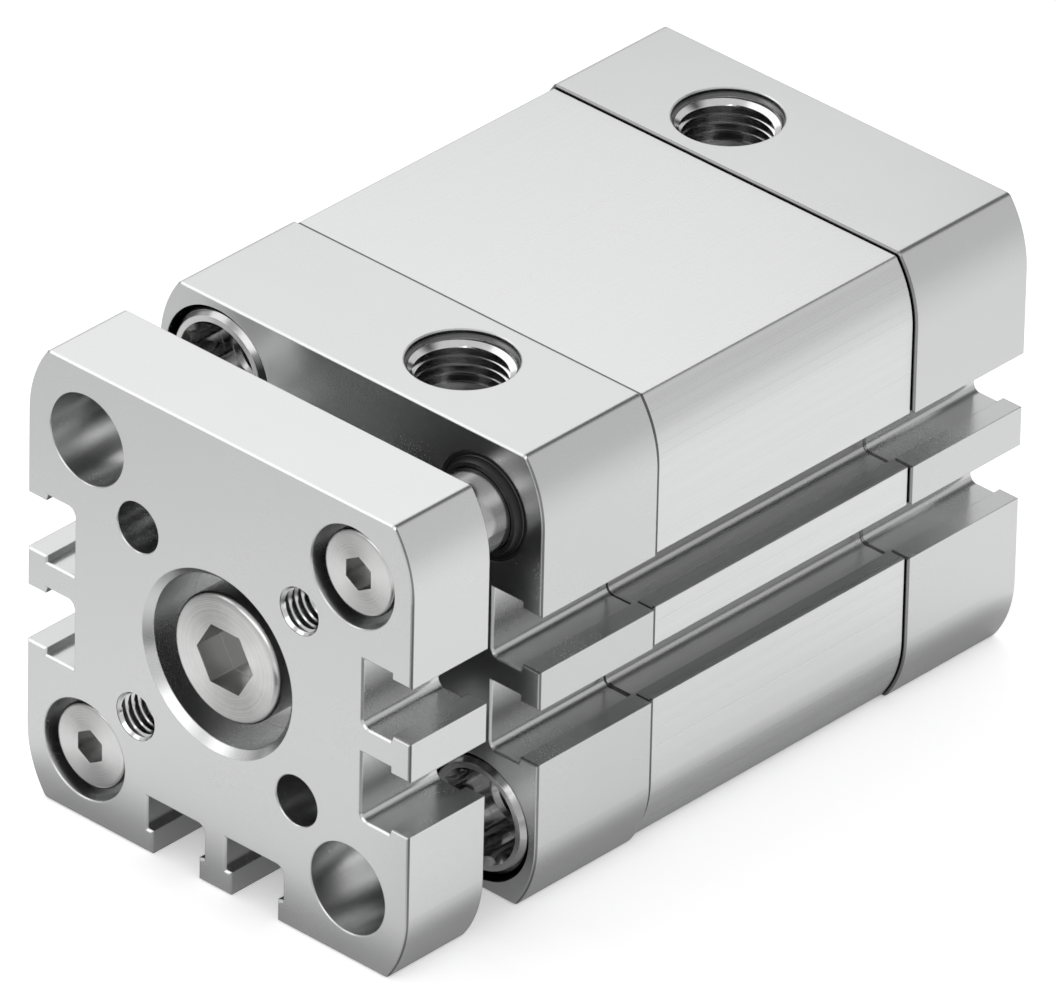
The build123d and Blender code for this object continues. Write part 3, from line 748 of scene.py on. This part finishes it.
FLOOR_SIZE = 6.0
floor_shape = bmesh.new()
bmesh.ops.create_grid(floor_shape, x_segments=1, y_segments=1, size=FLOOR_SIZE / 2)
bmesh.ops.translate(floor_shape, vec=(0, 0, -HALF_SECTION * MM), verts=floor_shape.verts)
floor_mesh = bpy.data.meshes.new("floor")
floor_shape.to_mesh(floor_mesh)
floor_shape.free()
floor = bpy.data.objects.new("floor", floor_mesh)
scene.collection.objects.link(floor)


def seen_ray(tree):
    """1 for what the camera, a gloss or a clear piece shows of the surroundings."""
    path = tree.nodes.new("ShaderNodeLightPath").outputs
    either = calculate(tree, "MAXIMUM", path["Is Camera Ray"], path["Is Glossy Ray"])
    return calculate(tree, "MAXIMUM", either, path["Is Transmission Ray"])


floor_paint = bpy.data.materials.new("floor_paint")
floor_paint.use_nodes = True
floor_mesh.materials.append(floor_paint)
tree = floor_paint.node_tree
tree.nodes.clear()
ground = tree.nodes.new("ShaderNodeTexCoord").outputs["Object"]

# Distance in metres from the plan of the part, and from its middle height.
MIDDLE = 0.0236
PLAN = (0.0235, 0.0404, 0)
centred = tree.nodes.new("ShaderNodeMapping")
centred.inputs["Location"].default_value = (0, -MIDDLE, 0)
tree.links.new(ground, centred.inputs["Vector"])
sides = calculate_vector(tree, "ABSOLUTE", centred.outputs[0])
beyond = calculate_vector(tree, "SUBTRACT", sides, PLAN)
outwards = calculate_vector(tree, "MAXIMUM", beyond, (0, 0, 0))
away = calculate_vector(tree, "LENGTH", outwards)

# The floor glows a little, so that it is white, and less further away.
FADE_REACH = 0.2
fade = tree.nodes.new("ShaderNodeValToRGB")
fade.color_ramp.elements[0].position = 0.15
fade.color_ramp.elements[0].color = (0.29, 0.29, 0.29, 1)
fade.color_ramp.elements[1].position = 1.0
fade.color_ramp.elements[1].color = (0.1, 0.1, 0.1, 1)
fade.color_ramp.elements.new(0.4).color = (0.16, 0.16, 0.16, 1)
tree.links.new(calculate(tree, "DIVIDE", away, FADE_REACH), fade.inputs["Fac"])

# Painted shade: glosses show the floor darker under the part, in front of the part's corner and to
# its left.
FRONT_CORNER = (0.045, -0.06, 0)
RIGHTWARDS = (0.74, 0.67, 0)
NEAREST = HALF_SECTION * MM
from_corner = calculate_vector(tree, "DISTANCE", ground, FRONT_CORNER)
rightwards = calculate_vector(tree, "DOT_PRODUCT", ground, RIGHTWARDS)
dim_corner = remap(tree, from_corner, (0.025, 0.055), (0.12, 1))
dim_near = remap(tree, away, (NEAREST, NEAREST + 0.001), (0.44, 1))
dim_left = remap(tree, rightwards, (-0.1, 0.03), (0.7, 1))
dimmed_twice = calculate(tree, "MULTIPLY", dim_corner, dim_near)
dimmed = calculate(tree, "MULTIPLY", dimmed_twice, dim_left)
glossy = tree.nodes.new("ShaderNodeLightPath").outputs["Is Glossy Ray"]
shown = blend(tree, glossy, 1, dimmed)

FLOOR_PALENESS = 0.95
matt = tree.nodes.new("ShaderNodeBsdfDiffuse")
tree.links.new(calculate(tree, "MULTIPLY", shown, FLOOR_PALENESS), matt.inputs["Color"])
glow = tree.nodes.new("ShaderNodeEmission")
lifted = calculate(tree, "MULTIPLY", fade.outputs["Color"], shown)
tree.links.new(calculate(tree, "MULTIPLY", seen_ray(tree), lifted), glow.inputs["Strength"])
both = tree.nodes.new("ShaderNodeAddShader")
tree.links.new(matt.outputs[0], both.inputs[0])
tree.links.new(glow.outputs[0], both.inputs[1])
output = tree.nodes.new("ShaderNodeOutputMaterial")
tree.links.new(both.outputs[0], output.inputs["Surface"])

# The room lights the part evenly, a little more from the right and the back. What glosses
# show of it is darker overhead at the back, in one spot over the gap and far to the left.
BRIGHT_SIDE = (0.8, 0.6, 0)
GAP_SPOT = (0.334, -0.377, 0.826)
world = bpy.data.worlds.new("room")
scene.world = world
world.use_nodes = True
tree = world.node_tree
tree.nodes.clear()
direction = tree.nodes.new("ShaderNodeTexCoord").outputs["Generated"]
height = split(tree, direction)
to_bright_side = calculate_vector(tree, "DOT_PRODUCT", direction, BRIGHT_SIDE)
ambient = calculate(tree, "MULTIPLY_ADD", to_bright_side, 0.3, 1.0)
ceiling = remap(tree, height["Z"], (0.5, 0.75), (1.0, 0.12), smooth=True)
back_part = remap(tree, height["Y"], (0.25, 0.5))
overhead = blend(tree, back_part, 1, ceiling)
to_gap = calculate_vector(tree, "DOT_PRODUCT", direction, GAP_SPOT)
gap_shade = remap(tree, to_gap, (0.975, 0.997), (1.0, 0.15))
left_side = remap(tree, height["X"], (-0.99, -0.93), (0.3, 1.0))
roof = calculate(tree, "MULTIPLY", overhead, gap_shade)
walls = calculate(tree, "MULTIPLY", roof, left_side)
room = tree.nodes.new("ShaderNodeBackground")
tree.links.new(blend(tree, seen_ray(tree), ambient, walls), room.inputs["Strength"])
output = tree.nodes.new("ShaderNodeOutputWorld")
tree.links.new(room.outputs[0], output.inputs["Surface"])


def add_lamp(name, towards, distance, width, depth, radiance, target=(0, 0, 0)):
    """Soft lamp, wide along the horizon, that faces a point from one direction."""
    data = bpy.data.lights.new(name, "AREA")
    data.shape = "RECTANGLE"
    data.size = width
    data.size_y = depth
    data.energy = radiance * pi * width * depth
    lamp = bpy.data.objects.new(name, data)
    scene.collection.objects.link(lamp)
    facing = Vector(towards).normalized()
    lamp.location = Vector(target) * MM + facing * distance
    lamp.rotation_euler = facing.to_track_quat("Z", "Y").to_euler()


add_lamp("front_lamp", (0.2, -0.8, 0.56), distance=0.8, width=0.95, depth=0.32, radiance=1.35)
add_lamp("left_lamp", (-0.62, -0.48, 0.62), distance=0.8, width=0.45, depth=0.24, radiance=1.2)
# The rear lamp shines past the part and is mirrored in its upper faces.
add_lamp(
    "rear_lamp",
    (-0.574, 0.628, 0.525),
    distance=0.5,
    width=0.5,
    depth=0.34,
    radiance=0.74,
    target=(36, -304, HALF_SECTION),
)

# The place and turn of the camera were fitted to the edges in the photograph. Its lens,
# distance and shifts are in millimetres.
AZIMUTH = radians(42.39761)
ELEVATION = radians(31.68433)
ROLL = radians(1.29908)
DISTANCE = 1648.17756
SHIFT_RIGHT = -27.7487
SHIFT_UP = -14.48446
AIM = Vector((0, -17, 0))
LENS = 634.87
back = Vector((sin(AZIMUTH) * cos(ELEVATION), -cos(AZIMUTH) * cos(ELEVATION), sin(ELEVATION)))
sideways = Vector((cos(AZIMUTH), sin(AZIMUTH), 0))
upright = back.cross(sideways)
right = sideways * cos(ROLL) + upright * sin(ROLL)
up = upright * cos(ROLL) - sideways * sin(ROLL)
camera_data = bpy.data.cameras.new("camera")
camera_data.sensor_width = 36
camera_data.lens = LENS
camera_data.clip_start = 0.05
camera_data.clip_end = 20
camera = bpy.data.objects.new("camera", camera_data)
scene.collection.objects.link(camera)
place = (AIM + back * DISTANCE - right * SHIFT_RIGHT - up * SHIFT_UP) * MM
camera.matrix_world = Matrix.Translation(place) @ Matrix((right, up, back)).transposed().to_4x4()
scene.camera = camera
